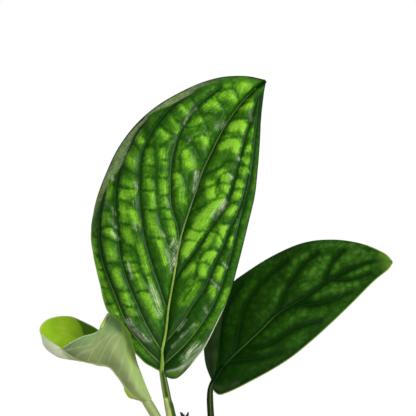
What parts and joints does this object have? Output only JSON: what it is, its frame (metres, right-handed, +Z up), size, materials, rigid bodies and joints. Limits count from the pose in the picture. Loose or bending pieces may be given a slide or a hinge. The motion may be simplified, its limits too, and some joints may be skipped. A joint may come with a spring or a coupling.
{
  "type": "potted monstera peru",
  "caption": "Young climbing aroid in a plain clay pot: quilted glossy heart-shaped leaves on slender grooved stalks above soil.",
  "frame": {"origin": "on the pot's axis, at the bottom of its base, midway under the leaves' spread", "axes": "+Z up along the pot's axis; +Y from the viewer of the leaves' faces to the back, +X to that viewer's right"},
  "size_m": [0.1766, 0.12, 0.322],
  "materials": {
    "clay": "matte",
    "compost": "matte",
    "green_stem": "satin",
    "green_stalk": "satin",
    "dark_stalk": "satin",
    "pale_stalk": "satin",
    "dry_sheath": "matte",
    "glossy_leaf": "gloss",
    "dark_leaf": "gloss",
    "pale_leaf": "satin"
  },
  "bodies": {
    "root": {"pot": "clay", "soil": "compost", "stem": "green_stem", "large_stalk": "green_stalk", "right_stalk": "dark_stalk", "young_stalk": "pale_stalk", "dry_sheath": "dry_sheath", "large_blade": "glossy_leaf", "right_blade": "dark_leaf", "young_blade": "pale_leaf"}
  },
  "joints": []
}
